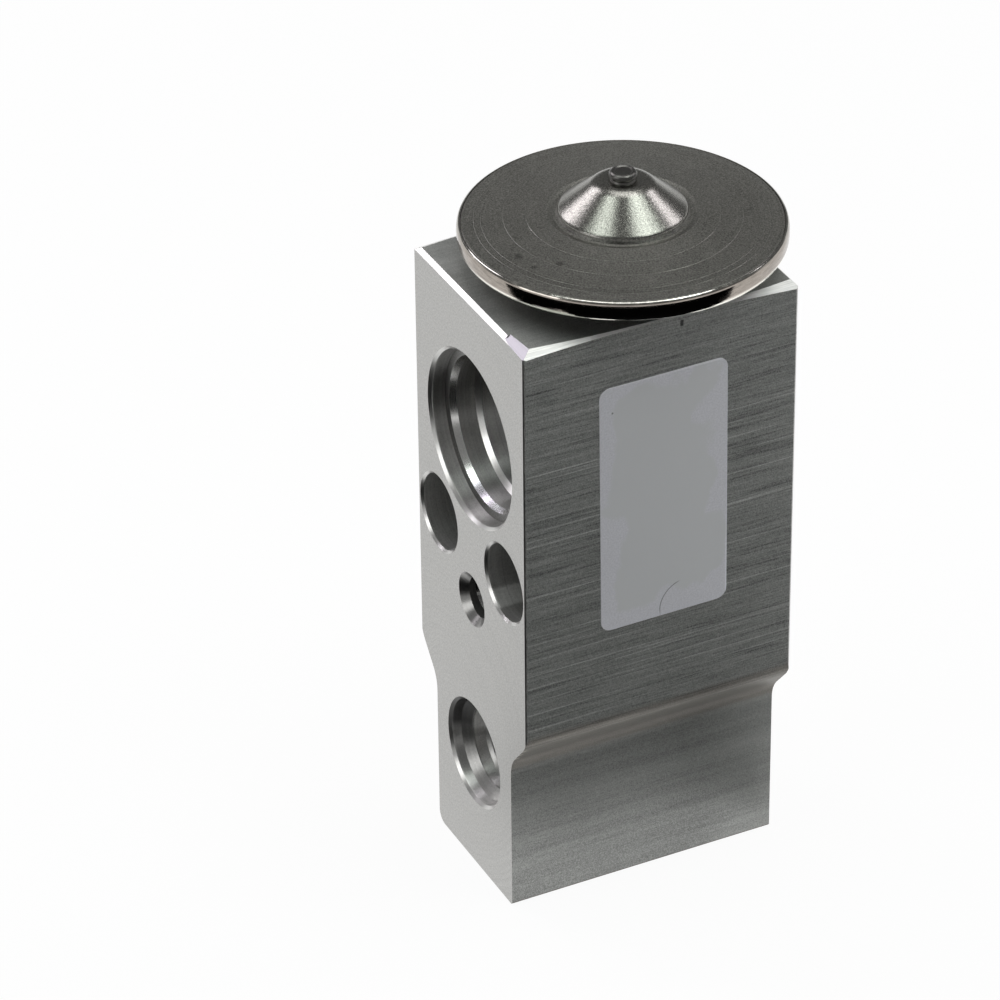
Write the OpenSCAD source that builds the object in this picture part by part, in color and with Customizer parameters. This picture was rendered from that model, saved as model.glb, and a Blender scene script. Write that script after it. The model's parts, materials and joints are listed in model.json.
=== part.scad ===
// Block-type thermal expansion valve, in millimetres.
// A waisted aluminium block carries the two refrigerant passages. A diaphragm head is screwed into its top, a sensing rod
// and a push pin run down its middle to a ball on its seat, and a spring and an adjusting screw hold the ball up from below.
// The Z axis is the axis of the stem, the block stands on z = 0, and the pipe face looks along -Y.

/* [Block] */
// Width of the block above its waist
block_width = 28.2; // [27.6:0.1:32]
// Depth of the block, from the pipe face to the back face
block_depth = 35; // [33.5:0.5:40]
// Height of the block
block_height = 78.8; // [78:0.2:84]
// Distance from the pipe face to the stem's axis
stem_setback = 19.8; // [19:0.1:21]
// Width of the foot below the waist
foot_width = 19.8; // [18.8:0.1:21.5]
// Height of the middle of the waist's slope
waist_height = 23.2; // [21:0.1:24]
// Lean of the waist's slope, from upright, in degrees
waist_lean = 41; // [36:1:50]
// Radius of the two bends of the waist
waist_bend = 4.4; // [3:0.1:5]
// Bevel of the top edges of the pipe face and the back face
face_bevel = 0.5; // [0.3:0.1:1]
// Width of the cut along each side's top edge, at its two ends
side_cut_end = 1.3; // [0.8:0.1:1.6]
// Width of the same cut at its middle
side_cut_middle = 0.2; // [0.1:0.1:0.6]
// Bevel of the upright edges
upright_bevel = 0.3; // [0.1:0.1:0.6]
// Radius of the foot's left lower edge
foot_left_radius = 1.5; // [0.5:0.1:2]
// Radius of the foot's right lower edge
foot_right_radius = 0.4; // [0.2:0.1:1]

/* [Suction ports] */
// Height of the suction passage
suction_height = 60.2; // [59.8:0.1:60.6]
// Diameter of the mouth of each suction port, over its bevel
suction_mouth_d = 21.9; // [21.5:0.1:23]
// Diameter of the first counterbore
suction_outer_d = 20.8; // [20.4:0.1:21.4]
// Depth of the first counterbore
suction_outer_depth = 2; // [1.6:0.1:2.3]
// Diameter of the bore that takes the pipe's end
suction_pipe_d = 18.2; // [17.6:0.1:18.6]
// Depth of that bore from the face
suction_pipe_depth = 5.2; // [4.4:0.1:6]
// Diameter of the passage right through the block
suction_bore_d = 16.3; // [16:0.1:16.6]

/* [Liquid ports] */
// Height of the liquid inlet, in the pipe face
inlet_height = 16; // [15.8:0.1:16.4]
// Height of the liquid outlet, in the back face
outlet_height = 29.4; // [29.2:0.1:30]
// Diameter of the mouth of each liquid port, over its bevel
liquid_mouth_d = 14; // [13.6:0.1:15]
// Diameter of the counterbore
liquid_outer_d = 12.9; // [12.4:0.1:13.1]
// Depth of the counterbore
liquid_outer_depth = 1.4; // [1.1:0.1:1.7]
// Diameter of the bore behind its sloping shoulder
liquid_pipe_d = 10.3; // [10:0.1:10.6]
// Depth of that bore from the face
liquid_pipe_depth = 3.9; // [3.5:0.1:4.1]
// Diameter of the liquid bores that take the pipes' ends
liquid_bore_d = 9.4; // [9:0.1:9.6]
// Depth of the outlet's pipe bore from the face
outlet_bore_depth = 8.4; // [7:0.1:9.5]
// Diameter of the outlet's passage behind it
outlet_passage_d = 8.4; // [8:0.1:8.6]

/* [Fixing holes] */
// Height of the two bolt holes
bolt_height = 45.3; // [44.8:0.1:45.6]
// Distance between the bolt holes
bolt_spacing = 17; // [16.8:0.1:17.6]
// Diameter of the bolt holes
bolt_hole_d = 9.5; // [8:0.1:9.6]
// Bevel of the bolt holes
bolt_bevel = 0.3; // [0.1:0.05:0.35]
// Height of the threaded hole
stud_height = 38; // [37:0.1:39]
// Minor diameter of the threaded hole
stud_minor_d = 5; // [4:0.1:5.2]
// Depth of the threaded hole
stud_depth = 13; // [9:0.5:14]
// Diameter of its countersink
stud_sink_d = 6.8; // [6:0.1:7.4]

/* [Power head] */
// Diameter of the head
head_d = 38; // [37:0.1:41]
// Gap between the block's top and the head's flat underside
head_standoff = 0.35; // [0.2:0.05:0.6]
// Rise of the lower cover, from its flat underside to its rim
lower_cover_rise = 2.5; // [2.3:0.1:3.5]
// Thickness of the lower cover's rim
lower_rim_t = 1.2; // [1:0.1:1.6]
// Thickness of the lower cover's lip, which stands round the diaphragm and the upper cover
rim_lip_t = 0.45; // [0.35:0.05:0.6]
// Thickness of the lower cover's floor
lower_floor_t = 1.35; // [1:0.05:1.5]
// Diameter of the flat part of the lower cover's underside
lower_flat_d = 25.6; // [25:0.2:27]
// Outer diameter of the threaded neck
neck_d = 19.9; // [19.5:0.1:20.4]
// Bore of the neck
neck_bore_d = 16; // [15.4:0.1:16.6]
// Length of the neck
neck_length = 7.2; // [6.4:0.1:7.6]
// Thickness of the diaphragm
diaphragm_t = 0.2; // [0.1:0.05:0.3]
// Thickness of the upper cover's sheet
upper_sheet_t = 0.95; // [0.7:0.05:1.1]
// Rise of the upper cover's crown from its rim to the foot of the dome
crown_rise = 1.15; // [0.8:0.05:1.6]
// Diameter of the dome at its foot
dome_foot_d = 15; // [14:0.1:16.5]
// Diameter of the dome's flat top, over its shoulder
dome_top_d = 6.9; // [6:0.1:8]
// Radius of the round between the dome's side and its top
dome_round = 2.4; // [1.6:0.1:2.6]
// Height of the dome's flat top over the rim
dome_height = 5.25; // [4.6:0.05:6.4]
// Diameter of the charge plug's bead
plug_d = 3.3; // [2.8:0.1:4]
// Height of the charge plug's bead
plug_bead_h = 1.1; // [0.8:0.1:1.6]

/* [Stem] */
// Diameter of the sensing rod
rod_d = 5; // [4.6:0.1:5.2]
// Diameter of the push pin
pin_d = 2; // [1.6:0.1:2.4]
// Length of the rod's guide below the gland
guide_length = 4.8; // [4:0.1:5.6]
// Depth of the gland for the rod's seal
gland_depth = 3.2; // [2.8:0.1:3.4]
// Diameter of the disc under the diaphragm
thrust_disc_d = 21.6; // [20:0.2:23]
// Thickness of that disc
thrust_disc_t = 1.3; // [1.1:0.05:1.5]
// Diameter of the disc's boss
thrust_boss_d = 9; // [8:0.1:11]
// Length of the disc's boss below the disc
thrust_boss_length = 6; // [4.5:0.1:7]
// Travel of the stem from closed to open
valve_travel = 0.8; // [0.5:0.05:0.8]

/* [Ball valve] */
// Diameter of the ball
ball_d = 5.5; // [5.4:0.1:6.2]
// Diameter of the orifice
orifice_d = 3.8; // [3.2:0.1:3.8]
// Diameter of the seat's mouth
seat_mouth_d = 6.8; // [6:0.1:7.4]
// Diameter of the ball's chamber
chamber_d = 12.8; // [12.6:0.1:13.2]
// Height of the chamber's roof
chamber_top = 21; // [20.8:0.1:21.2]
// Diameter of the ball carrier's flange
carrier_d = 8; // [7.6:0.1:8.6]
// Thickness of the flange
carrier_t = 1; // [0.8:0.1:1.4]
// Wire of the superheat spring
spring_wire = 1; // [0.8:0.05:1.05]
// Middle diameter of the superheat spring
spring_d = 7; // [6.8:0.1:7.2]
// Turns of the superheat spring, its two closed turns included
spring_turns = 6; // [5:0.5:6.5]
// Thickness of the damping spring's sheet
damping_t = 0.3; // [0.2:0.05:0.4]
// Width of each of its three legs
damping_leg_w = 2.2; // [1.6:0.1:2.6]

/* [Adjusting screw] */
// Diameter of the threaded part
screw_d = 14.9; // [14.6:0.1:15.6]
// Diameter of the sealed shank
shank_d = 13.9; // [13.6:0.1:14.2]
// Distance of the screw's end from the block's underside
screw_recess = 1.8; // [1.4:0.1:2.2]
// Length of the threaded part
thread_length = 2.8; // [2.2:0.1:3]
// Whole length of the screw
screw_length = 7.6; // [7.4:0.1:7.8]
// Depth of the cup that holds the spring
cup_depth = 3.4; // [2.8:0.1:3.8]
// Size of the hexagon socket across its flats
socket_flats = 5; // [4:0.5:6]
// Depth of the socket
socket_depth = 3.1; // [2.4:0.1:3.2]
// Travel of the screw each way from its factory setting
screw_travel = 1; // [0.5:0.1:1.2]

/* [Seals] */
// Section of the seal round the neck
head_seal_section = 1.6; // [1.4:0.1:1.8]
// Section of the seal round the sensing rod
rod_seal_section = 1.6; // [1.4:0.1:1.7]
// Thickness of the washer that holds the rod's seal
retainer_t = 0.5; // [0.3:0.1:0.7]
// Section of the seal round the adjusting screw
screw_seal_section = 1.4; // [1.2:0.1:1.5]

/* [Label] */
// Width of the label
label_width = 16.4; // [12:0.1:20]
// Height of the label
label_height = 32.8; // [20:0.1:38]
// Height of the label's middle
label_middle = 55.3; // [50:0.1:56]
// Distance of the label's middle from the pipe face
label_setback = 17.8; // [15:0.1:19]
// Radius of the label's corners
label_corner = 1.3; // [0.5:0.1:3]
// Thickness of the foil
label_t = 0.1; // [0.05:0.05:0.2]
// Lean of the label, in degrees
label_lean = 0.5; // [-1:0.1:1]

/* [Hidden] */
$fn = 96;

// Overrun of a cutting shape past the face it cuts
cut = 1;
// Radial clearance of a running fit
running_fit = 0.05;
// Radial clearance of a seal in its groove
seal_fit = 0.03;
// Radial clearance of a thread that is shown plain
thread_fit = 0.05;
// Gap between pieces that push on each other but move apart
push_gap = 0.05;

// Block
half_width = block_width / 2;
half_foot = foot_width / 2;
front_y = -stem_setback;
back_y = block_depth - stem_setback;
waist_step = half_width - half_foot;
waist_slope_length = (waist_step - 2 * waist_bend * (1 - cos(waist_lean))) / sin(waist_lean);
waist_middle_x = (half_width + half_foot) / 2;
slope_x = waist_slope_length / 2 * sin(waist_lean);
slope_z = waist_slope_length / 2 * cos(waist_lean);
waist_top = waist_height + slope_z + waist_bend * sin(waist_lean);
waist_bottom = waist_height - slope_z - waist_bend * sin(waist_lean);
// Radius of the sweep whose arc gives the side cut its widths at the middle and at the ends
side_cut_radius = pow(block_depth / 2, 2) / (2 * (side_cut_end - side_cut_middle));
side_cut_fall = 0.55;
corner_facet_turn = 6.3;
corner_facet_length = 4.9;
corner_facet_set = 0.86;
corner_facet_lean = 26.3;

// Ports: the bevel, the counterbore, its slightly sloping shoulder, the pipe's bore and the passage
mouth_bevel = 0.35;
suction_steps = [
    [0, suction_mouth_d / 2],
    [mouth_bevel, suction_mouth_d / 2 - mouth_bevel],
    [suction_outer_depth - 0.05, suction_outer_d / 2],
    [suction_outer_depth + 0.05, suction_pipe_d / 2 + 0.35],
    [suction_outer_depth + 0.85, suction_pipe_d / 2],
    [suction_pipe_depth, suction_pipe_d / 2],
    [suction_pipe_depth + 0.4, suction_bore_d / 2]
];
liquid_steps = [
    [0, liquid_mouth_d / 2],
    [mouth_bevel, liquid_mouth_d / 2 - mouth_bevel],
    [liquid_outer_depth, liquid_outer_d / 2 - 0.15],
    [liquid_outer_depth + 1, liquid_pipe_d / 2],
    [liquid_pipe_depth, liquid_pipe_d / 2],
    [liquid_pipe_depth + 0.4, liquid_bore_d / 2]
];
outlet_overrun = 2.4;
drill_point = 1.3;

// Head, from the block's top upwards
flat_z = block_height + head_standoff;
rim_z = flat_z + lower_cover_rise;
diaphragm_z = rim_z + lower_rim_t;
sheet_z = diaphragm_z + diaphragm_t;
rim_top_z = sheet_z + upper_sheet_t;
head_r = head_d / 2;
cover_r = head_r - rim_lip_t;
// Radial clearance inside the lip
rim_fit = 0.02;
cover_edge_bevel = 0.1;
// Roundness of the rim's outer wall: 2 is an ellipse, and more is squarer
rim_power = 2.6;
rim_steps = 16;
// Width of the rim in which the covers clamp the diaphragm
rim_clamp = 3.8;
bowl_slope = 2.2;
clamp_r = head_r - rim_clamp;
cover_floor_z = flat_z + lower_floor_t;
neck_end_z = flat_z - neck_length;
neck_hole_z = neck_end_z - 0.7;
vapour_hole_d = neck_bore_d - 0.8;
// Distances of the turned rings from the disc's edge, and of the innermost from the dome's foot
ring_set = [1.95, 2.75, 5.3];
inner_ring_set = 3.65;
ring_r = concat([for (d = ring_set) head_r - d], [dome_foot_d / 2 + inner_ring_set]);
ring_step = 0.04;
crown_r = dome_foot_d / 2 + 1.2;
crown_slope = crown_rise / (cover_r - crown_r);
plug_hole_d = 2;
// Round at the dome's foot, and the lean of its side's normal
foot_round = 0.7;
dome_lean = 49;
dome_inner_drop = 0.1;

// Seals and their seats
gasket_seat_d = neck_d + 2 * thread_fit + 2 * head_seal_section + 1;
gasket_seat_depth = head_seal_section - 0.1;
gland_d = rod_d + 2 * running_fit + 2 * rod_seal_section + 2 * seal_fit;
suction_floor_z = suction_height - suction_bore_d / 2;
gland_z = suction_floor_z - gland_depth;
guide_z = gland_z - guide_length;
rod_seal_z = gland_z + rod_seal_section / 2;
retainer_z = gland_z + rod_seal_section + push_gap;

// Stem, in its closed position
rod_bottom_z = guide_z + valve_travel + 0.2;
thrust_top_z = diaphragm_z - push_gap;
thrust_under_z = thrust_top_z - thrust_disc_t;
rod_top_z = thrust_under_z - 0.9;
seat_lean = 45;
seat_apex_z = chamber_top + seat_mouth_d / 2 / tan(seat_lean);
orifice_z = chamber_top + (seat_mouth_d - orifice_d) / 2 / tan(seat_lean);
ball_z = seat_apex_z - ball_d / 2 / sin(seat_lean) - push_gap;
ball_top_z = ball_z + ball_d / 2;
pin_socket_depth = 2.2;
pin_top_z = rod_bottom_z + pin_socket_depth;

// Ball carrier, with the damping spring's ring clamped under its flange
carrier_cup_d = 4.8;
carrier_cup_z = ball_z - 0.7 * ball_d / 2;
carrier_top_z = ball_z - 1.22 * ball_d / 2;
carrier_under_z = carrier_top_z - carrier_t;
carrier_stub_d = spring_d - spring_wire - 0.8;
carrier_stub_length = 2.6;
damping_z = carrier_under_z - damping_t;
damping_leg_r = chamber_d / 2 - 0.25;
damping_leg_rise = 2.3;
damping_leg_top = carrier_top_z + damping_leg_rise;

// Adjusting screw, at its factory setting
screw_z = screw_recess;
screw_top_z = screw_z + screw_length;
cup_floor_z = screw_top_z - cup_depth;
cup_d = spring_d + spring_wire + 1;
socket_bevel = 0.4;
shank_bore_z = screw_z + thread_length + screw_travel + 0.2;
screw_seal_z = shank_bore_z + screw_travel + screw_seal_section / 2 + 0.15;
groove_d = shank_d - 2 * screw_seal_section + 2 * seal_fit;
groove_h = screw_seal_section + 0.2;
chamber_floor_z = screw_top_z + screw_travel + 0.3;

// Superheat spring: one closed turn at each end, and open turns between
spring_bottom_z = cup_floor_z;
spring_length = damping_z - spring_bottom_z;
closed_pitch = spring_wire * 1.04;
open_turns = spring_turns - 2;
open_pitch = (spring_length - spring_wire - 2 * closed_pitch) / open_turns;
spring_steps = 18;
spring_sides = 8;
spring_rings = round(spring_turns * spring_steps);

function arc_points(centre, r, from, to, count) =
    [for (i = [0:count]) let (a = from + (to - from) * i / count) centre + r * [cos(a), sin(a)]];

// Outer wall of the rim from its underside to its top: a barrel as deep as the lip, with rounded edges
function rim_wall() =
    let (half_h = (rim_top_z - rim_z) / 2)
    [for (i = [0:rim_steps])
        let (a = -90 + 180 * i / rim_steps, rise = pow(abs(sin(a)), 2 / rim_power) * sign(a))
        [cover_r + rim_lip_t * pow(abs(cos(a)), 2 / rim_power), rim_z + half_h * (1 + rise)]];

function helix_z(turn) =
    turn < 1 ? turn * closed_pitch
    : turn > 1 + open_turns ? closed_pitch + open_turns * open_pitch + (turn - 1 - open_turns) * closed_pitch
    : closed_pitch + (turn - 1) * open_pitch;

function ring_points(turn, radius, wire, sides) =
    [for (i = [0:sides - 1])
        let (a = 360 * i / sides, r = radius + wire / 2 * cos(a))
        [r * cos(360 * turn), r * sin(360 * turn), helix_z(turn) + wire / 2 * sin(a)]];

// One side of the block's outline, from below or from above
function side_line(side, down) =
    let (
        up = [
            [side * half_foot, 0],
            [side * half_foot, waist_bottom],
            [side * (waist_middle_x - slope_x), waist_height - slope_z],
            [side * (waist_middle_x + slope_x), waist_height + slope_z],
            [side * half_width, waist_top],
            [side * half_width, block_height]
        ],
        last = len(up) - 1
    )
    [for (i = [0:last]) up[down ? last - i : i]];

// Cut of a port into the face at y = 0, along +Y: its steps, then its passage to the depth given
module port_cut(steps, depth) {
    last = steps[len(steps) - 1];
    rotate([-90, 0, 0])
        rotate_extrude()
            polygon(concat([[0, -cut], [steps[0][1], -cut]], [for (s = steps) [s[1], s[0]]],
                [[last[1], depth], [0, depth]]));
}

// Places a cut made for the pipe face in the back face
module from_back() {
    translate([0, back_y, 0]) mirror([0, 1, 0]) children();
}

module from_front() {
    translate([0, front_y, 0]) children();
}

module in_both_faces() {
    from_front() children();
    from_back() children();
}

// Outline of the block, as seen from the pipe face, with x across and y upwards
module block_outline() {
    difference() {
        union() {
            polygon(concat(side_line(1, false), side_line(-1, true)));
            for (side = [-1, 1])
                translate([side * (half_width - waist_bend), waist_top]) circle(waist_bend);
        }
        for (side = [-1, 1])
            translate([side * (half_foot + waist_bend), waist_bottom]) circle(waist_bend);
        foot_edge(-1, foot_left_radius);
        foot_edge(1, foot_right_radius);
    }
}

// What a rounded lower edge leaves out of the foot's outline
module foot_edge(side, radius) {
    difference() {
        translate([side * half_foot - (side > 0 ? radius : cut), -cut]) square([radius + cut, radius + cut]);
        translate([side * (half_foot - radius), radius]) circle(radius);
    }
}

module block_blank() {
    difference() {
        translate([0, back_y, 0]) rotate([90, 0, 0]) linear_extrude(block_depth) block_outline();
        in_both_faces() face_edges();
        from_front() corner_facet();
        for (side = [0, 1]) mirror([side, 0, 0]) side_edge();
    }
}

// Bevels of one face's top edge, its two upright edges and the corners between them
module face_edges() {
    translate([-half_width - cut, 0, block_height]) rotate([45, 0, 0])
        translate([0, -face_bevel / sqrt(2), -face_bevel / sqrt(2)])
            cube([block_width + 2 * cut, face_bevel * sqrt(2), face_bevel * sqrt(2)]);
    for (side = [-1, 1])
        translate([side * half_width, 0, 0]) rotate([0, 0, 45])
            translate([-upright_bevel / sqrt(2), -upright_bevel / sqrt(2), waist_height])
                cube([upright_bevel * sqrt(2), upright_bevel * sqrt(2), block_height]);
}

// Short filed flat on the right corner of the pipe face's top edge
module corner_facet() {
    translate([half_width - corner_facet_length, corner_facet_set, block_height])
        rotate([corner_facet_lean, 0, corner_facet_turn])
            translate([0, -corner_facet_length, 0])
                cube([2 * corner_facet_length, 2 * corner_facet_length, cut]);
}

// Shallow cut along one side's top edge, swept round an upright axis far off, so it is widest at the corners
module side_edge() {
    middle_x = half_width - side_cut_middle;
    translate([middle_x - side_cut_radius, (front_y + back_y) / 2, block_height - side_cut_fall * side_cut_end])
        rotate_extrude($fn = 720)
            polygon([
                [side_cut_radius, side_cut_fall * side_cut_end],
                [side_cut_radius + 2 * side_cut_end, side_cut_fall * (side_cut_end - 2 * side_cut_end)],
                [side_cut_radius + 2 * side_cut_end, side_cut_fall * side_cut_end + cut],
                [side_cut_radius, side_cut_fall * side_cut_end + cut]
            ]);
}

module valve_body() {
    color("silver")
        difference() {
            block_blank();
            in_both_faces() translate([0, 0, suction_height]) port_cut(suction_steps, suction_pipe_depth + 1);
            translate([0, front_y + suction_pipe_depth, suction_height]) rotate([-90, 0, 0])
                cylinder(h = block_depth - 2 * suction_pipe_depth, d = suction_bore_d);
            from_front() translate([0, 0, inlet_height]) port_cut(liquid_steps, stem_setback);
            from_back() translate([0, 0, outlet_height]) outlet_cut();
            bolt_holes();
            from_front() translate([0, 0, stud_height]) stud_cut();
            neck_cut();
            stem_cut();
            chamber_cut();
        }
}

// The outlet's passage runs on past the stem's axis and ends in a drill point
module outlet_cut() {
    depth = back_y + outlet_overrun;
    step = (liquid_bore_d - outlet_passage_d) / 2;
    passage = [[outlet_bore_depth, liquid_bore_d / 2], [outlet_bore_depth + step, outlet_passage_d / 2]];
    port_cut(concat(liquid_steps, passage), depth);
    rotate([-90, 0, 0]) translate([0, 0, depth - 0.01])
        cylinder(h = drill_point, d1 = outlet_passage_d, d2 = outlet_passage_d / 3);
}

module bolt_holes() {
    for (side = [-1, 1])
        translate([side * bolt_spacing / 2, 0, bolt_height]) {
            translate([0, front_y - cut, 0]) rotate([-90, 0, 0])
                cylinder(h = block_depth + 2 * cut, d = bolt_hole_d);
            in_both_faces() rotate([-90, 0, 0])
                translate([0, 0, -cut])
                    cylinder(h = bolt_bevel + cut, d1 = bolt_hole_d + 2 * (bolt_bevel + cut), d2 = bolt_hole_d);
        }
}

module stud_cut() {
    sink = (stud_sink_d - stud_minor_d) / 2;
    port_cut([[0, stud_sink_d / 2], [sink, stud_minor_d / 2]], stud_depth);
    rotate([-90, 0, 0]) translate([0, 0, stud_depth - 0.01])
        cylinder(h = drill_point, d1 = stud_minor_d, d2 = 0.2);
}

// Threaded hole for the head, the seat of its seal and the opening through which vapour reaches the diaphragm
module neck_cut() {
    hole_d = neck_d + 2 * thread_fit;
    translate([0, 0, neck_hole_z]) cylinder(h = block_height - neck_hole_z + cut, d = hole_d);
    translate([0, 0, block_height - gasket_seat_depth]) cylinder(h = gasket_seat_depth + cut, d = gasket_seat_d);
    translate([0, 0, suction_height]) cylinder(h = neck_hole_z - suction_height + cut, d = vapour_hole_d);
}

// Gland for the rod's seal, guide of the rod and guide of the push pin
module stem_cut() {
    translate([0, 0, gland_z]) cylinder(h = suction_height - gland_z, d = gland_d);
    translate([0, 0, guide_z]) cylinder(h = guide_length + cut, d = rod_d + 2 * running_fit);
    translate([0, 0, outlet_height]) cylinder(h = guide_z - outlet_height + cut, d = pin_d + 2 * running_fit);
}

// Orifice, seat, the ball's chamber and the two bores of the adjusting screw
module chamber_cut() {
    thread_bore = screw_d + 2 * thread_fit;
    translate([0, 0, orifice_z - cut]) cylinder(h = outlet_height - orifice_z + cut, d = orifice_d);
    rotate_extrude()
        polygon([
            [0, -cut],
            [thread_bore / 2 + 0.6, -cut],
            [thread_bore / 2 + 0.6, 0],
            [thread_bore / 2, 0.6],
            [thread_bore / 2, shank_bore_z],
            [shank_d / 2 + running_fit, shank_bore_z],
            [shank_d / 2 + running_fit, chamber_floor_z],
            [chamber_d / 2, chamber_floor_z],
            [chamber_d / 2, chamber_top],
            [seat_mouth_d / 2, chamber_top],
            [orifice_d / 2, orifice_z],
            [0, orifice_z]
        ]);
}

module label() {
    color("lightgray")
        translate([half_width, front_y + label_setback, label_middle]) rotate([90, 0, 90]) rotate([0, 0, label_lean])
            linear_extrude(label_t) rounded_rectangle(label_width, label_height, label_corner);
}

module rounded_rectangle(width, height, radius) {
    square([width - 2 * radius, height], center = true);
    square([width, height - 2 * radius], center = true);
    for (sx = [-1, 1], sy = [-1, 1])
        translate([sx * (width / 2 - radius), sy * (height / 2 - radius)]) circle(radius);
}

// Turned from steel: a threaded neck, a flat flange, a shallow bowl that the diaphragm closes, and a lip round it
module lower_cover() {
    color("dimgray")
        rotate_extrude()
            polygon(concat(
                [
                    [neck_bore_d / 2, neck_end_z],
                    [neck_d / 2 - 0.5, neck_end_z],
                    [neck_d / 2, neck_end_z + 0.5],
                    [neck_d / 2, flat_z],
                    [lower_flat_d / 2, flat_z],
                    [head_r - 2, rim_z]
                ],
                rim_wall(),
                [
                    [cover_r, diaphragm_z],
                    [clamp_r, diaphragm_z],
                    [clamp_r - bowl_slope, cover_floor_z],
                    [neck_bore_d / 2, cover_floor_z]
                ]
            ));
}

// Pressed from sheet: a slightly crowned disc with turned rings, and a dome in its middle
module upper_cover() {
    edge_r = cover_r - rim_fit;
    outer = concat(
        [
            [edge_r, 0],
            [edge_r, upper_sheet_t - cover_edge_bevel],
            [edge_r - cover_edge_bevel, upper_sheet_t]
        ],
        [for (r = ring_r, side = [0, 1])
            [r - side * ring_step, upper_sheet_t + crown_slope * (cover_r - r) + (side - 0.5) * ring_step]],
        [
            [crown_r, upper_sheet_t + crown_rise],
            [dome_foot_d / 2 + 0.55, upper_sheet_t + crown_rise - 0.15],
            [dome_foot_d / 2 + 0.2, upper_sheet_t + crown_rise - 0.1]
        ],
        arc_points([dome_foot_d / 2 - foot_round, upper_sheet_t + crown_rise + 0.12], foot_round, 5, dome_lean, 4),
        arc_points([dome_top_d / 2 - 0.51 * dome_round, upper_sheet_t + dome_height - dome_round], dome_round,
            dome_lean, 90, 9),
        [[plug_hole_d / 2, upper_sheet_t + dome_height]]
    );
    inner = [
        [plug_hole_d / 2, dome_height - dome_inner_drop],
        [dome_top_d / 2 - 0.7, dome_height - dome_inner_drop],
        [dome_foot_d / 2 - 1.1, crown_rise + 0.3],
        [crown_r, crown_rise],
        [clamp_r, crown_slope * (cover_r - clamp_r)],
        [clamp_r, 0]
    ];
    color("dimgray")
        translate([0, 0, sheet_z])
            rotate_extrude($fn = 144) polygon(concat(outer, inner));
}

// Thin steel sheet, clamped at its rim, with rolled waves between the rim and the thrust disc
module diaphragm() {
    wave_in = thrust_disc_d / 2 + 0.5;
    wave_out = clamp_r - 0.2;
    waves = 2;
    steps = 20;
    height = 0.22;
    wave = [for (i = [0:steps])
        [wave_in + (wave_out - wave_in) * i / steps, height * (1 - cos(360 * waves * i / steps)) / 2]];
    rim = cover_r - rim_fit;
    color("gainsboro")
        translate([0, 0, diaphragm_z])
            rotate_extrude()
                polygon(concat(
                    [[0, 0]], wave, [[rim, 0], [rim, diaphragm_t]],
                    [for (i = [steps:-1:0]) wave[i] + [0, diaphragm_t]],
                    [[0, diaphragm_t]]
                ));
}

// Steel plug that closes the charging hole, with a small rounded bead
module charge_plug() {
    top = sheet_z + upper_sheet_t + dome_height;
    shank = upper_sheet_t + dome_inner_drop + 0.3;
    color("gray")
        translate([0, 0, top])
            rotate_extrude()
                polygon(concat(
                    [[0, -shank], [plug_hole_d / 2 - seal_fit, -shank], [plug_hole_d / 2 - seal_fit, 0], [plug_d / 2 - 0.1, 0]],
                    arc_points([plug_d / 2 - 0.5, 0.6], 0.5, -50, 90, 6),
                    [[plug_d / 2 - 0.7, plug_bead_h - 0.1], [0, plug_bead_h - 0.1]]
                ));
}

module ring_seal(section, inner_d) {
    rotate_extrude() translate([(inner_d + section) / 2, 0]) circle(d = section, $fn = 40);
}

module head_gasket() {
    color("darkgreen")
        translate([0, 0, block_height - gasket_seat_depth + head_seal_section / 2])
            ring_seal(head_seal_section, neck_d + 0.4);
}

// Disc that the diaphragm pushes, with a socket for the rod and holes that let vapour past it
module thrust_disc() {
    color("silver")
        difference() {
            union() {
                translate([0, 0, thrust_under_z]) cylinder(h = thrust_disc_t, d = thrust_disc_d);
                translate([0, 0, thrust_under_z - thrust_boss_length])
                    cylinder(h = thrust_boss_length + 0.01, d = thrust_boss_d);
            }
            translate([0, 0, thrust_under_z - thrust_boss_length - cut])
                cylinder(h = rod_top_z + 0.1 - thrust_under_z + thrust_boss_length + cut, d = rod_d + 2 * seal_fit);
            for (turn = [0:90:270])
                rotate([0, 0, turn + 45]) translate([(thrust_boss_d + thrust_disc_d) / 4, 0, thrust_under_z - cut])
                    cylinder(h = thrust_disc_t + 2 * cut, d = 1.8, $fn = 32);
        }
}

module sensing_rod() {
    color("silver")
        rotate_extrude()
            polygon([
                [pin_d / 2 + seal_fit, rod_bottom_z],
                [rod_d / 2 - 0.3, rod_bottom_z],
                [rod_d / 2, rod_bottom_z + 0.3],
                [rod_d / 2, rod_top_z - 0.3],
                [rod_d / 2 - 0.3, rod_top_z],
                [0, rod_top_z],
                [0, pin_top_z + 0.1],
                [pin_d / 2 + seal_fit, pin_top_z + 0.1]
            ]);
}

module rod_seal() {
    color("dimgray") translate([0, 0, rod_seal_z]) ring_seal(rod_seal_section, rod_d + 2 * running_fit);
}

// Lock washer: its slotted inner teeth stand clear of the rod, and its rim grips the gland's wall
module seal_retainer() {
    teeth = 6;
    hole_d = rod_d + 1;
    color("silver")
        translate([0, 0, retainer_z])
            difference() {
                cylinder(h = retainer_t, d = gland_d - 2 * seal_fit);
                translate([0, 0, -cut]) cylinder(h = retainer_t + 2 * cut, d = hole_d);
                for (i = [0:teeth - 1])
                    rotate([0, 0, 360 * i / teeth]) translate([hole_d / 2 - 0.3, -0.4, -cut])
                        cube([0.9, 0.8, retainer_t + 2 * cut]);
            }
}

module push_pin() {
    color("gainsboro") translate([0, 0, ball_top_z]) cylinder(h = pin_top_z - ball_top_z, d = pin_d);
}

module valve_ball() {
    color("gainsboro") translate([0, 0, ball_z]) sphere(d = ball_d);
}

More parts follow.
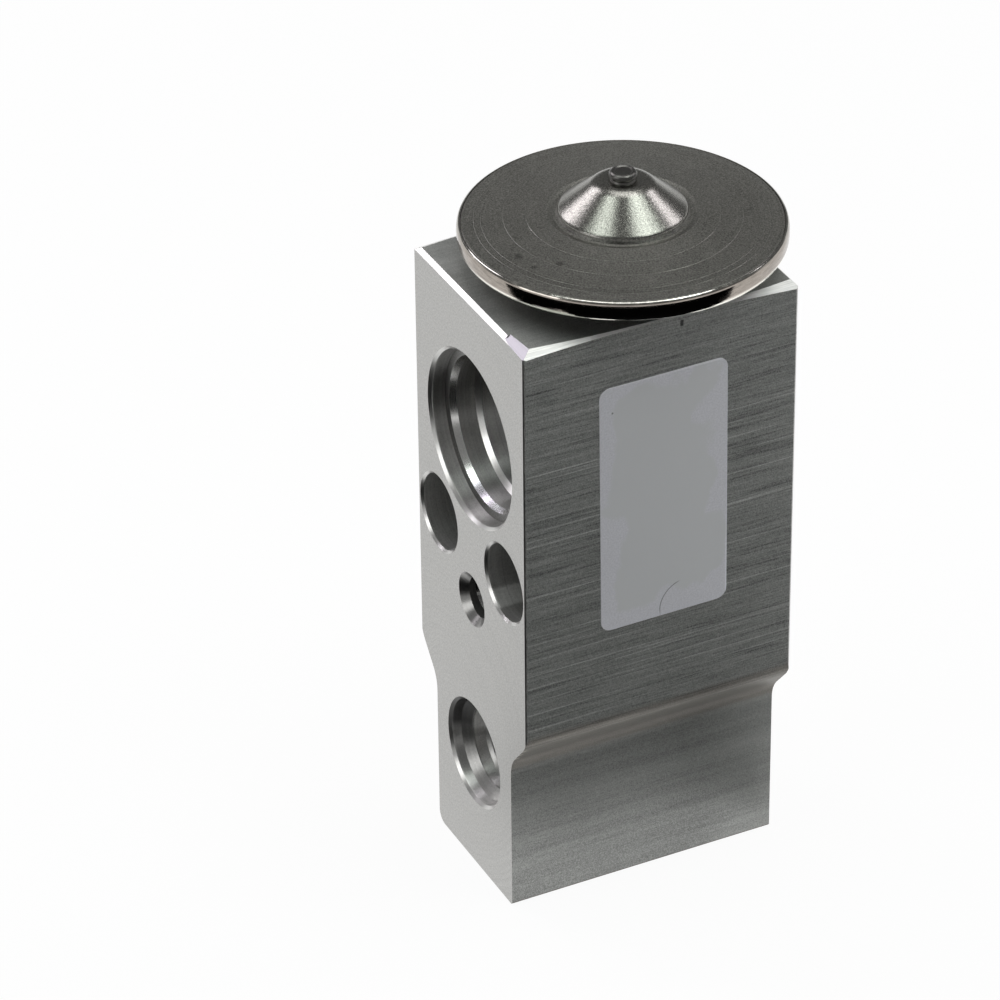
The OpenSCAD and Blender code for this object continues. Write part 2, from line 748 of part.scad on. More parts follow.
// Carrier that the ball is welded to, with a cup above its flange and a stub that guides the spring
module ball_carrier() {
    color("darkgray")
        difference() {
            rotate_extrude()
                polygon([
                    [0, carrier_under_z - carrier_stub_length],
                    [carrier_stub_d / 2 - 0.4, carrier_under_z - carrier_stub_length],
                    [carrier_stub_d / 2, carrier_under_z - carrier_stub_length + 0.4],
                    [carrier_stub_d / 2, carrier_under_z],
                    [carrier_d / 2, carrier_under_z],
                    [carrier_d / 2, carrier_top_z],
                    [carrier_cup_d / 2, carrier_top_z],
                    [carrier_cup_d / 2, carrier_cup_z],
                    [0, carrier_cup_z]
                ]);
            translate([0, 0, ball_z]) sphere(d = ball_d + 2 * seal_fit);
        }
}

// Spring clip whose three bent legs rub on the chamber's wall and stop the ball from chattering
module damping_spring() {
    leg_reach = damping_leg_r * cos(asin(damping_leg_w / 2 / damping_leg_r));
    color("goldenrod")
        for (turn = [90, 210, 330])
            rotate([0, 0, turn]) {
                translate([carrier_d / 2 - 0.5, -damping_leg_w / 2, damping_z])
                    cube([leg_reach - carrier_d / 2 + 0.5, damping_leg_w, damping_t]);
                translate([leg_reach - damping_t, -damping_leg_w / 2, damping_z])
                    cube([damping_t, damping_leg_w, damping_leg_top - damping_z]);
            }
    color("goldenrod")
        translate([0, 0, damping_z])
            difference() {
                cylinder(h = damping_t, d = carrier_d);
                translate([0, 0, -cut]) cylinder(h = damping_t + 2 * cut, d = carrier_stub_d + 2 * seal_fit);
            }
}

// Coil swept along its helix, ring by ring, and closed at both ends
module superheat_spring() {
    rings = [for (k = [0:spring_rings]) ring_points(k / spring_steps, spring_d / 2, spring_wire, spring_sides)];
    points = [for (ring = rings, p = ring) p + [0, 0, spring_bottom_z + spring_wire / 2]];
    sides = [for (k = [0:spring_rings - 1], i = [0:spring_sides - 1])
        let (
            a = k * spring_sides + i,
            b = k * spring_sides + (i + 1) % spring_sides
        )
        each [[a, b, b + spring_sides], [a, b + spring_sides, a + spring_sides]]];
    start_cap = [for (i = [1:spring_sides - 2]) [0, i + 1, i]];
    last = spring_rings * spring_sides;
    end_cap = [for (i = [1:spring_sides - 2]) [last, last + i, last + i + 1]];
    color("gainsboro") polyhedron(points = points, faces = concat(start_cap, sides, end_cap), convexity = 10);
}

// Hollow screw: a threaded part, a grooved shank, the spring's cup above and a hexagon socket below
module adjusting_screw() {
    socket_d = socket_flats / cos(30);
    color("goldenrod")
        difference() {
            rotate_extrude()
                polygon([
                    [0, screw_z],
                    [screw_d / 2 - 0.5, screw_z],
                    [screw_d / 2, screw_z + 0.5],
                    [screw_d / 2, screw_z + thread_length],
                    [shank_d / 2, screw_z + thread_length],
                    [shank_d / 2, screw_seal_z - groove_h / 2],
                    [groove_d / 2 - seal_fit, screw_seal_z - groove_h / 2],
                    [groove_d / 2 - seal_fit, screw_seal_z + groove_h / 2],
                    [shank_d / 2, screw_seal_z + groove_h / 2],
                    [shank_d / 2, screw_top_z],
                    [cup_d / 2, screw_top_z],
                    [cup_d / 2, cup_floor_z],
                    [0, cup_floor_z]
                ]);
            translate([0, 0, screw_z - cut]) cylinder(h = socket_depth + cut, d = socket_d, $fn = 6);
            translate([0, 0, screw_z - 0.01])
                cylinder(h = socket_bevel, d1 = socket_d + 2 * socket_bevel, d2 = socket_d);
        }
}

module adjuster_oring() {
    color("dimgray")
        translate([0, 0, screw_seal_z]) ring_seal(screw_seal_section, groove_d);
}

valve_body();
label();
lower_cover();
upper_cover();
diaphragm();
charge_plug();
head_gasket();
thrust_disc();
sensing_rod();
rod_seal();
seal_retainer();
push_pin();
valve_ball();
ball_carrier();
damping_spring();
superheat_spring();
adjusting_screw();
adjuster_oring();
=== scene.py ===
# %% [markdown]
# # A block-type expansion valve
# This lesson dresses a finished solid model of a refrigeration valve: a waisted aluminium block with pipe
# ports, a disc-shaped head and a blank foil label. The solids come from a imported CAD part, so nearly
# every shape is right already. What Blender adds is the finish of each metal, a thread that the solids
# show plain, a wound spring in place of the solid one, and the studio.

# %% Load the imported valve
import json
import math

import bpy
from mathutils import Matrix, Vector


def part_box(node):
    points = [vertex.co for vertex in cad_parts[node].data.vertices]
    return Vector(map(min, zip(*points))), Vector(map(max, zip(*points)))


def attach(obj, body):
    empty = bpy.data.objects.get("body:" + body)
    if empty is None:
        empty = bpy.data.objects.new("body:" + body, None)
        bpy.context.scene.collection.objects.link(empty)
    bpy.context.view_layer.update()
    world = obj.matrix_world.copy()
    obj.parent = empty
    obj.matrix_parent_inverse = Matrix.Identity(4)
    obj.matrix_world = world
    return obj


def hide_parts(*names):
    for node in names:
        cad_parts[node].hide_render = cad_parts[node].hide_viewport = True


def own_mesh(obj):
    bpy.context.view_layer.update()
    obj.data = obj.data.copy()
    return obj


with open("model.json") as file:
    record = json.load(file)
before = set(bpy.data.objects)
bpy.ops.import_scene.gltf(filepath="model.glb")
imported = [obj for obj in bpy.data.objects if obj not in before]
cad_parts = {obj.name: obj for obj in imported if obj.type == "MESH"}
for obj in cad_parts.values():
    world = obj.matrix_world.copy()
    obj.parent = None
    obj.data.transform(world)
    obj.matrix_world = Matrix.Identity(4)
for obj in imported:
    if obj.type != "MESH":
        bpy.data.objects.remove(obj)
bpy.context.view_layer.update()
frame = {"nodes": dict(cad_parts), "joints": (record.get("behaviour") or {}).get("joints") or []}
nodes = frame["nodes"]
MM = 0.001
print("nodes:", ", ".join(sorted(nodes)))

# %% [markdown]
# ## A camera where the photographer stood
# The picture was taken with a long lens from the right of the pipe face, well above the valve. A camera
# could be set by eye, but then nothing in the render could be measured against the picture. The lens, the
# place and the slight roll below came from lining up some forty edges and ellipses of the block with the
# picture, so the render can be laid over it.

# %% Camera
CAMERA_PLACE = Vector((0.460375, -0.241498, 0.379671))
CAMERA_AZIMUTH = 63.9006
CAMERA_ELEVATION = 32.6857
CAMERA_ROLL = -0.6614
CAMERA_LENS = 189.04


def placed(name, data):
    """A new object in the scene."""
    made = bpy.data.objects.new(name, data)
    bpy.context.scene.collection.objects.link(made)
    return made


def view_axes(azimuth, elevation, roll=0.0):
    """Right, up and backward, as columns, of what looks at the valve from there. All in degrees."""
    turn, rise, tilt = (math.radians(angle) for angle in (azimuth, elevation, roll))
    back = Vector((math.sin(turn) * math.cos(rise), -math.cos(turn) * math.cos(rise), math.sin(rise)))
    right = Vector((0, 0, 1)).cross(back).normalized()
    up = back.cross(right)
    rolled_right = right * math.cos(tilt) + up * math.sin(tilt)
    rolled_up = up * math.cos(tilt) - right * math.sin(tilt)
    return Matrix((rolled_right, rolled_up, back)).transposed()


camera = placed("camera", bpy.data.cameras.new("camera"))
camera.matrix_world = (Matrix.Translation(CAMERA_PLACE)
                       @ view_axes(CAMERA_AZIMUTH, CAMERA_ELEVATION, CAMERA_ROLL).to_4x4())
camera.data.lens = CAMERA_LENS
camera.data.clip_start = 0.01
camera.data.clip_end = 20
bpy.context.scene.camera = camera
print("camera", [round(c, 3) for c in camera.location], "lens", camera.data.lens)

# %% [markdown]
# ## Shader maths that reads like maths
# A finish could be wired by hand in the shader editor, but `base + 0.2 * streaks` is easier to follow.
# `Wire` wraps one socket, and its operators add Math nodes. `Recipe` writes the nodes of one tree, and its
# method `node` adds any other node. `Finish` is the recipe of a material.

# %% Wire


class Wire:
    """A number, colour or direction inside a node tree."""

    def __init__(self, recipe, socket):
        self.recipe = recipe
        self.socket = socket

    def _math(self, operation, *values):
        return self.recipe.node("ShaderNodeMath", {"operation": operation}, dict(enumerate(values)))

    def __add__(self, other):
        return self._math("ADD", self, other)

    __radd__ = __add__

    def __sub__(self, other):
        return self._math("SUBTRACT", self, other)

    def __rsub__(self, other):
        return self._math("SUBTRACT", other, self)

    def __mul__(self, other):
        return self._math("MULTIPLY", self, other)

    __rmul__ = __mul__

    def __truediv__(self, other):
        return self._math("DIVIDE", self, other)

    def __neg__(self):
        return self._math("MULTIPLY", self, -1.0)

    def __abs__(self):
        return self._math("ABSOLUTE", self)

    def least(self, other):
        return self._math("MINIMUM", self, other)

    def most(self, other):
        return self._math("MAXIMUM", self, other)

    def sine(self):
        return self._math("SINE", self)

    def sign(self):
        return self._math("SIGN", self)

    def angle_of(self, other):
        """The angle whose tangent is this over other, all round the circle."""
        return self._math("ARCTAN2", self, other)

    def reach(self, other):
        """The distance from the centre, where this and other are the two offsets."""
        return self._math("SQRT", self * self + other * other)

    def blend(self, other, share):
        """This where share is 0 and other where it is 1."""
        return self + (other - self) * share

    def step(self, start, end):
        """0 before start, 1 after end, smooth between; start may be the larger."""
        return self.recipe.node("ShaderNodeMapRange", {"interpolation_type": "SMOOTHSTEP"},
                                {"Value": self, "From Min": start, "From Max": end})


print("Wire ready")

# %% Recipe


def fill_ramp(ramp, stops):
    while len(ramp.elements) < len(stops):
        ramp.elements.new(0.5)
    for element, (position, value) in zip(ramp.elements, stops):
        element.position = position
        element.color = (value, value, value, 1)


class Recipe:
    """The nodes of one tree, of a material or of the sky."""

    def __init__(self, tree):
        self.tree = tree

    def node(self, kind, settings, values, output=0):
        """Adds a node: settings are its own fields (stops fills a ramp), values go to its sockets."""
        made = self.tree.nodes.new(kind)
        for field, value in settings.items():
            if field == "stops":
                fill_ramp(made.color_ramp, value)
            else:
                setattr(made, field, value)
        for socket, value in values.items():
            self.plug(made.inputs[socket], value)
        return Wire(self, made.outputs[output])

    def plug(self, socket, value):
        if isinstance(value, Wire):
            self.tree.links.new(value.socket, socket)
        elif socket.type == "RGBA" and len(value) == 3:
            socket.default_value = (*value, 1)
        else:
            socket.default_value = value

    def split(self, vector):
        first = self.node("ShaderNodeSeparateXYZ", {}, {0: vector})
        return [Wire(self, output) for output in first.socket.node.outputs]

    def joined(self, x, y, z):
        return self.node("ShaderNodeCombineXYZ", {}, {"X": x, "Y": y, "Z": z})

    def vector_math(self, operation, *values):
        return self.node("ShaderNodeVectorMath", {"operation": operation}, dict(enumerate(values)))

    def mix(self, share, first, second):
        """The colour first where share is 0 and second where it is 1."""
        return self.node("ShaderNodeMix", {"data_type": "RGBA"}, {0: share, 6: first, 7: second}, 2)

    def grey(self, value, tint):
        """A colour of that brightness, tinted."""
        return self.joined(*[value * channel for channel in tint])


print("Recipe ready")

# %% Finish


class Finish(Recipe):
    """One material, its shader, and the coordinates that every finish here uses, in millimetres."""

    def __init__(self, name, color, metallic, roughness, constants=None):
        self.material = bpy.data.materials.new(name)
        self.material.use_nodes = True
        super().__init__(self.material.node_tree)
        self.shader = self.tree.nodes["Principled BSDF"]
        self.shader.inputs["Base Color"].default_value = (*color, 1)
        self.shader.inputs["Metallic"].default_value = metallic
        self.shader.inputs["Roughness"].default_value = roughness
        for socket, value in (constants or {}).items():
            self.shader.inputs[socket].default_value = value
        metres = self.node("ShaderNodeTexCoord", {}, {}, "Object")
        to_mm = {0: metres, "Scale": 1 / MM}
        self.place = self.node("ShaderNodeVectorMath", {"operation": "SCALE"}, to_mm)
        self.x, self.y, self.z = self.split(self.place)
        self.facing = self.node("ShaderNodeTexCoord", {}, {}, "Normal")
        self.nx, self.ny, self.nz = self.split(self.facing)

    def noise(self, scale, detail, roughness, place=None, stretch=None):
        """Noise about 0.5. scale is in lumps per millimetre; stretch lengthens it along each axis."""
        at = place or self.place
        if stretch:
            at = self.vector_math("DIVIDE", at, stretch)
        return self.node("ShaderNodeTexNoise", {"noise_dimensions": "3D"},
                         {"Vector": at, "Scale": scale, "Detail": detail, "Roughness": roughness})

    def paint(self, **wires):
        for socket, wire in wires.items():
            self.plug(self.shader.inputs[socket.replace("_", " ").title()], wire)

    def relief(self, height, depth, under=None):
        """Raises the surface by height times depth, in metres, over the normal under."""
        values = {"Height": height, "Distance": depth, "Strength": 1.0}
        if under:
            values["Normal"] = under
        self.plug(self.shader.inputs["Normal"], self.node("ShaderNodeBump", {}, values))


print("Finish ready")

# %% [markdown]
# ## The studio
# Metal shows its surroundings more than its own colour, so the studio is part of the finish. A ready-made
# environment picture would light the valve too, but its reflections couldn't be put where this photograph
# has them. Seven soft boxes stand round the valve. Two high in front and two at its sides are the four
# pale streaks on the dome, a low one before the pipe face draws the bright crescents in the bevels of the
# ports, and two light the top and its filed edge. The sky between them is dim, with a pale line at the
# horizon. A dark card lies over the floor before the valve, as a photographer would place one, and only
# reflections see it: it darkens the wide side and the head's rim, and leaves the pipe face pale.

# %% Floor and sky
FLOOR_REACH = 6.0
FLOOR_DROP = 0.02 * MM
PAPER_GLOW = 0.94
SKY_LOW = 0.95
SKY_HIGH = 0.18
SKY_STOPS = [(0.0, SKY_LOW), (0.035, SKY_LOW), (0.10, SKY_HIGH), (1.0, SKY_HIGH)]


def mesh_piece(name, points, faces):
    """A new mesh object in the scene."""
    mesh = bpy.data.meshes.new(name)
    mesh.from_pydata(points, [], faces)
    return placed(name, mesh)


def glow_for_eye_and_metal(finish, share):
    """Gives the paper a share of plain white where the camera or a reflection sees it."""
    seen = finish.node("ShaderNodeLightPath", {}, {}, "Is Camera Ray").most(
        finish.node("ShaderNodeLightPath", {}, {}, "Is Glossy Ray"))
    lit = Wire(finish, finish.shader.outputs[0])
    white = finish.node("ShaderNodeEmission", {}, {"Color": (1.0, 1.0, 1.0), "Strength": 1.0})
    surface = finish.node("ShaderNodeMixShader", {}, {0: share * seen, 1: lit, 2: white})
    finish.plug(finish.tree.nodes["Material Output"].inputs["Surface"], surface)


corners = [(x * FLOOR_REACH, y * FLOOR_REACH, 0) for x, y in ((-1, -1), (1, -1), (1, 1), (-1, 1))]
floor = mesh_piece("floor", corners, [(0, 1, 2, 3)])
floor.location.z = -FLOOR_DROP
paper = Finish("floor_paper", (0.95, 0.95, 0.95), 0.0, 1.0, {"Specular IOR Level": 0.0})
glow_for_eye_and_metal(paper, PAPER_GLOW)
floor.data.materials.append(paper.material)

world = bpy.data.worlds.new("studio")
bpy.context.scene.world = world
world.use_nodes = True
sky = Recipe(world.node_tree)
height_in_sky = sky.split(sky.node("ShaderNodeTexCoord", {}, {}, "Generated"))[2]
sky_shade = sky.node("ShaderNodeValToRGB", {"stops": SKY_STOPS}, {"Fac": height_in_sky})
sky.plug(sky.tree.nodes["Background"].inputs["Color"], sky_shade)
print("floor and sky made")

# %% Soft boxes
LAMP_DISTANCE = 0.62
LAMP_AIM = Vector((0, 0, 0.06))
COOL = (0.93, 1.0, 0.96)
LILAC = (0.985, 0.94, 1.0)
WHITE = (1.0, 1.0, 1.0)


def soft_box(name, azimuth, elevation, width, height, power, color):
    """A flat lamp that looks at the middle of the valve from that direction, in degrees."""
    data = bpy.data.lights.new(name, "AREA")
    data.shape = "RECTANGLE"
    data.size = width
    data.size_y = height
    data.energy = power
    data.color = color
    axes = view_axes(azimuth, elevation)
    lamp = placed(name, data)
    lamp.location = LAMP_AIM + axes.col[2] * LAMP_DISTANCE
    lamp.rotation_euler = axes.to_euler()


soft_box("front_right_lamp", 131, 61, 0.28, 0.30, 1.0, COOL)
soft_box("front_left_lamp", -1, 62, 0.24, 0.24, 0.58, COOL)
soft_box("side_right_lamp", 178, 35, 0.16, 0.20, 0.42, LILAC)
soft_box("side_left_lamp", -62, 33, 0.20, 0.34, 0.90, LILAC)
soft_box("low_front_lamp", 6, 20, 0.30, 0.22, 0.5, WHITE)
soft_box("edge_lamp", 174, 69, 0.16, 0.16, 0.20, WHITE)
soft_box("top_lamp", 240, 79, 0.36, 0.36, 0.85, WHITE)

# %% Dark card
CARD_START = -18
CARD_END = 138
CARD_OUTER = 0.75
CARD_FAR_EDGE = 0.038
CARD_NEAR_EDGE = 0.021
CORNER_START = 35.0
CORNER_END = 70.0
CARD_STEPS = 84
CARD_HEIGHT = 0.4 * MM


def card_edge(azimuth):
    """The card starts further out before the pipe face, which stays pale, than beside the wide side."""
    share = min(1.0, max(0.0, (azimuth - CORNER_START) / (CORNER_END - CORNER_START)))
    return CARD_FAR_EDGE + (CARD_NEAR_EDGE - CARD_FAR_EDGE) * share


azimuths = [CARD_START + (CARD_END - CARD_START) * i / CARD_STEPS for i in range(CARD_STEPS + 1)]
card_points = [(r * math.sin(math.radians(a)), -r * math.cos(math.radians(a)), CARD_HEIGHT)
               for a in azimuths for r in (card_edge(a), CARD_OUTER)]
card_faces = [(2 * i, 2 * i + 1, 2 * i + 3, 2 * i + 2) for i in range(CARD_STEPS)]
card = mesh_piece("dark_card", card_points, card_faces)
card.visible_camera = False
card.visible_diffuse = False
card.visible_shadow = False
felt = Finish("card_felt", (0.002, 0.002, 0.002), 0.0, 1.0, {"Specular IOR Level": 0.0})
card.data.materials.append(felt.material)
print("card:", len(card.data.polygons), "faces, seen only in reflections")

# %% [markdown]
# ## The block's finishes
# The bar that the block is cut from was extruded along Y. Its skin, on the wide sides, the top and the
# waist, is dull and drawn with long fine lines along Y. What a tool has cut since is brighter: the milled
# pipe face, with the faint arcs of the cutter, the bevels, and the ports, whose turned walls carry rings.
# These could be separate materials on chosen faces, but the solid's mesh is to stay as it came. So one
# material serves it all, and the surface's own direction and place tell which finish a point has.

# %% Which finish is where


def box_in_mm(name):
    """The lowest and highest corners of a CAD node."""
    return [Vector(corner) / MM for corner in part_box(name)]


block = Finish("block_aluminium", (0.5, 0.5, 0.5), 1.0, 0.35)
BLOCK_LOW, BLOCK_HIGH = box_in_mm("valve_body")
PIPE_FACE = BLOCK_LOW.y
TOP = BLOCK_HIGH.z
HALF_DEPTH = (BLOCK_HIGH.y - BLOCK_LOW.y) / 2
MIDDLE_Y = (BLOCK_HIGH.y + BLOCK_LOW.y) / 2
HALF_FOOT = 9.9
BORES_TOP = 73.0
STUD_HEIGHT = 38.0
STUD_REACH = 4.0

outward = block.nx * block.x.sign()
faces_y = abs(block.ny)
edge_wear = block.noise(2.4, 3.0, 0.7)
past_bevel = (block.y - PIPE_FACE - 0.10 - 0.30 * (edge_wear - 0.5)).step(0.02, 0.08)
wide_side = (outward.step(0.55, 0.75) * abs(block.x).step(HALF_FOOT - 0.6, HALF_FOOT - 0.3)
             * faces_y.step(0.5, 0.3).most(past_bevel))
top_face = block.nz.step(0.93, 0.98) * block.z.step(TOP - 0.3, TOP - 0.1)
base_face = (-block.nz).step(0.93, 0.98) * block.z.step(0.3, 0.1)
skin = wide_side.most(top_face).most(base_face)
milled = faces_y.step(0.8, 0.95)
depth_in = HALF_DEPTH - abs(block.y - MIDDLE_Y)
bore_wall = faces_y.step(0.35, 0.2)
stud_hole = block.x.reach(block.z - STUD_HEIGHT).step(STUD_REACH + 0.2, STUD_REACH - 0.2)
bored = (depth_in.step(0.35, 0.55) * block.z.step(BORES_TOP + 0.5, BORES_TOP - 0.5) * (1 - skin)
         * (1 - stud_hole * (1 - bore_wall)))
facet = (-block.ny).step(0.3, 0.4) * block.nz.step(0.8, 0.87)
side_cut = outward.step(0.3, 0.4) * block.nz.step(0.6, 0.7)
print("block: pipe face at", round(PIPE_FACE, 2), "and top at", round(TOP, 2))

# %% [markdown]
# The drawn lines could be scratches in an image. Here they are noise that is stretched until each lump is
# a line, because noise never repeats and stays sharp close up. Its low values are kept as dark lines and
# a few high ones as bright lines, and a fine grain lies over all. A dark nick under the head and a few
# burrs at the waist's front edge are marks of handling, on the labelled side only; the burrs are painted
# as bright glints.

# %% Drawn skin
WAIST = 23.2
NICK_PLACE = (0.14, 77.68)

drawn = block.noise(2.3, 3.0, 0.62, stretch=(1, 34, 1))
drawn_fine = block.noise(6.0, 2.0, 0.6, stretch=(1, 40, 1))
drawn_long = block.noise(3.6, 1.0, 0.5, stretch=(1, 130, 1))
drawn_broad = block.noise(0.42, 2.0, 0.5, stretch=(1, 70, 1))
speckle = block.noise(6.5, 2.0, 0.75)
mottle = block.noise(0.09, 2.0, 0.5, stretch=(1, 2, 1))
smoke = block.noise(0.22, 3.0, 0.6)
dark_lines = drawn.step(0.47, 0.34)
bright_lines = drawn_long.step(0.62, 0.74)
above_waist = block.z.step(WAIST - 2, WAIST + 4)
overhang = (-block.nz).step(0.04, 0.30) * wide_side
above_value = (0.44 - 0.12 * dark_lines + 0.21 * bright_lines + 0.50 * (drawn_fine - 0.5)
               + 0.85 * (speckle - 0.5) + 0.10 * (mottle - 0.5))
# The foot is painted darker than the side above the waist and darker toward its bottom, as shade, and
# lighter toward its back, as light.
foot_value = (0.37 - 0.03 * dark_lines + 0.12 * (drawn_fine - 0.5) + 0.6 * (speckle - 0.5)
              + 0.22 * (drawn_broad - 0.5) - 0.09 * block.z.step(14, 2) + 0.08 * block.y.step(4, 12))
skin_value = foot_value.blend(above_value, above_waist)
# Painted shade: the downward bend under the overhang is darker, and the side grows darker toward its back.
skin_value = skin_value * (1 - 0.48 * overhang) * (1 - 0.0045 * (block.y + 2))
smoky_value = 0.42 + 0.40 * (speckle - 0.5) + 0.50 * (smoke - 0.5)
skin_value = skin_value.blend(smoky_value, 0.8 * top_face)
label_side = wide_side * block.x.step(0.0, 1.0)
nick_y = abs(block.y - NICK_PLACE[0])
nick_z = abs(block.z - NICK_PLACE[1])
nick = nick_y.step(0.28, 0.14) * nick_z.step(0.5, 0.3) * label_side
# The burrs are painted bright, as glints where their edges catch the light.
burr_glints = ((block.x * 6.4).sine().step(0.1, 0.7) * (block.y - PIPE_FACE).step(0.75, 0.35)
         * abs(block.z - WAIST).step(1.6, 1.1) * label_side)
skin_value = skin_value * (1 - 0.75 * nick) + 0.3 * burr_glints
print("drawn skin:", len(block.tree.nodes), "nodes so far")

# %% [markdown]
# The milled pipe face has the faint arcs of its cutter: noise that is measured from the cutter's centre.
# The facet filed on the front corner and the long cut along the top edge are hand work. The cut is
# coarse, so it is mostly matt, and under the head it is painted paler, as light against the head's shadow.

# %% Milled and filed faces
CUTTER_PLACE = (-6.0, 20.0)

cutter_x = block.x - CUTTER_PLACE[0]
cutter_z = block.z - CUTTER_PLACE[1]
round_cutter = block.joined(cutter_x.reach(cutter_z), 0.0, 0.25 * cutter_z.angle_of(cutter_x))
cutter_arcs = block.noise(2.6, 3.0, 0.6, place=round_cutter)
milled_grain = block.noise(4.6, 3.0, 0.75)
milled_value = 0.462 + 0.55 * (milled_grain - 0.5) + 0.10 * (cutter_arcs - 0.5)
tool_rings = block.noise(5.0, 2.0, 0.6, stretch=(90, 1, 90))
turned_value = 0.64 + 0.16 * (tool_rings - 0.5) + 0.08 * (milled_grain - 0.5)
turned_value = turned_value * (1 - 0.36 * facet)
under_head = abs(block.y).step(15.0, 10.0)
# Under the head the cut is painted paler, as light against the head's shadow.
cut_value = 0.78 + 0.18 * under_head + 0.5 * (drawn - 0.5) + 0.5 * (drawn_fine - 0.5)
turned_value = turned_value.blend(cut_value, side_cut)
print("milled and filed faces:", len(block.tree.nodes), "nodes so far")

# %% [markdown]
# The bores are rougher than the face, because a drill leaves them so, and their bevels keep a polish.
# Their walls, flat steps and the small hole are painted darker, as shade inside the holes, and the inlet
# below is painted darker in its upper part, as shade. The shoulders and the inlet's deep wall are painted
# lighter, so that their highlights show brighter. A turned wall also has grooves too fine to see, which
# spread a reflection along the bore's axis and leave it narrow round the wall: that is the streak on every
# step of a port. Anisotropic shading could do this, but few exported formats carry it. So the normal leans
# to and fro along Y with white noise, which is finer than any pixel. The suction port's deep shoulder is
# flatter in the solid than on the real valve, so its normal is leaned too, from 23 to 45 degrees, and
# shows the bright crescent that it should.

# %% Bores
SUCTION_HEIGHT = 60.2
SUCTION_WALL = 10.6
SUCTION_PIPE = 9.1
LOW_PORT_TOP = 25.0
INLET_SHOULDER = 2.4
GROOVE_LEAN = 1.7
SHOULDER_LEAN = 0.53

suction_z = block.z - SUCTION_HEIGHT
suction_radius = block.x.reach(suction_z)
suction_port = suction_radius.step(SUCTION_WALL + 0.15, SUCTION_WALL)
low_port = block.z.step(LOW_PORT_TOP + 1, LOW_PORT_TOP - 1)
ported = bored * suction_port.most(low_port)
deep_in_inlet = depth_in.step(INLET_SHOULDER - 0.1, INLET_SHOULDER + 0.3) * low_port
# The inlet's upper part is painted dark, as shade.
inlet_top_painted_shade = (low_port * (-block.nz).step(-0.4, 0.1) * (1 - milled)
           * depth_in.step(INLET_SHOULDER + 0.2, INLET_SHOULDER - 0.1))
shoulder = (1 - bore_wall) * faces_y.step(0.97, 0.94)
flat_step = faces_y.step(0.95, 0.985)
# Bore walls, flat steps and the inlet are painted darker, as shade in the holes; the shoulders and the
# inlet's deep wall are painted lighter, as highlights.
bore_value = (0.46 - 0.10 * bore_wall - 0.24 * flat_step + (0.34 - 0.24 * low_port) * shoulder
              + 0.34 * deep_in_inlet * bore_wall - 0.10 * low_port
              + 0.20 * (tool_rings - 0.5) + 0.30 * (milled_grain - 0.5))
# The small hole and the inlet's upper part are painted darker, as shade.
bore_value = bore_value * (1 - 0.65 * stud_hole) * (1 - 0.93 * inlet_top_painted_shade)
turned_value = turned_value * (1 - 0.9 * inlet_top_painted_shade) * (1 - 0.5 * stud_hole)
deep_shoulder = (bored * suction_radius.step(SUCTION_PIPE + 0.2, SUCTION_PIPE + 0.1)
                 * faces_y.step(0.8, 0.88) * faces_y.step(0.985, 0.95))
grooves = block.node("ShaderNodeTexWhiteNoise", {"noise_dimensions": "3D"}, {"Vector": block.place})
inward = -SHOULDER_LEAN * deep_shoulder / suction_radius.most(1.0)
to_and_fro = GROOVE_LEAN * (grooves - 0.5) * ported * bore_wall
lean = block.joined(inward * block.x, to_and_fro, inward * suction_z)
grooved = block.vector_math("NORMALIZE", block.vector_math("ADD", block.facing, lean))
print("bores:", len(block.tree.nodes), "nodes so far")

# %% The block's material
SKIN_TINT = (0.985, 1.0, 0.965)
BEND_TINT = (1.06, 1.0, 0.90)
CUT_TINT = (1.0, 0.995, 0.965)
# FACET_TINT paints the filed facet lilac, as the reflection of the lilac lamps.
FACET_TINT = (0.99, 0.96, 1.03)


def dress(finish, *names):
    """Gives a finish to CAD nodes by name."""
    for name in names:
        nodes[name].data.materials.clear()
        nodes[name].data.materials.append(finish.material)


value = turned_value.blend(milled_value, milled).blend(bore_value, bored).blend(skin_value, skin)
skin_color = block.mix(overhang, block.grey(value, SKIN_TINT), block.grey(value, BEND_TINT))
cut_color = block.mix(facet, block.grey(value, CUT_TINT), block.grey(value, FACET_TINT))
matt_metal = 0.26 * skin + 0.24 * bored * bore_wall * (1 - ported) + (0.65 + 0.2 * under_head) * side_cut
bore_roughness = 0.16 - ported * (0.12 + 0.10 * shoulder * (1 - low_port))
skin_roughness = 0.14 + 0.12 * (speckle - 0.5)
block.paint(base_color=block.mix(skin, cut_color, skin_color), metallic=1.0 - matt_metal,
            roughness=0.30 + 0.08 * milled + skin_roughness * skin + 0.16 * side_cut + 0.02 * facet
            + bore_roughness * bored)
block.relief(0.5 * (drawn + drawn_fine) * skin + 0.5 * tool_rings * bored * bore_wall, 0.03 * MM, grooved)
dress(block, "valve_body")
print("block finish:", len(block.tree.nodes), "nodes")

# %% [markdown]
# ## The blank label
# The foil label is matt, smoother than the block and paler. It has no print. Where its adhesive has let
# go, near the edges, it is a little lighter and grained, its upper and right edges catch the light, and a
# fingernail has left a short curved scratch near its foot. The lifted parts could be modelled as bumps,
# but they are thinner than a hair, so only the colour shows them.

# %% Label
LABEL_LOW, LABEL_HIGH = box_in_mm("label")
SCRATCH_CENTRE = (0.94, 39.72)
SCRATCH_RADIUS = 3.39
DOT_PLACE = (-8.69, 68.27)

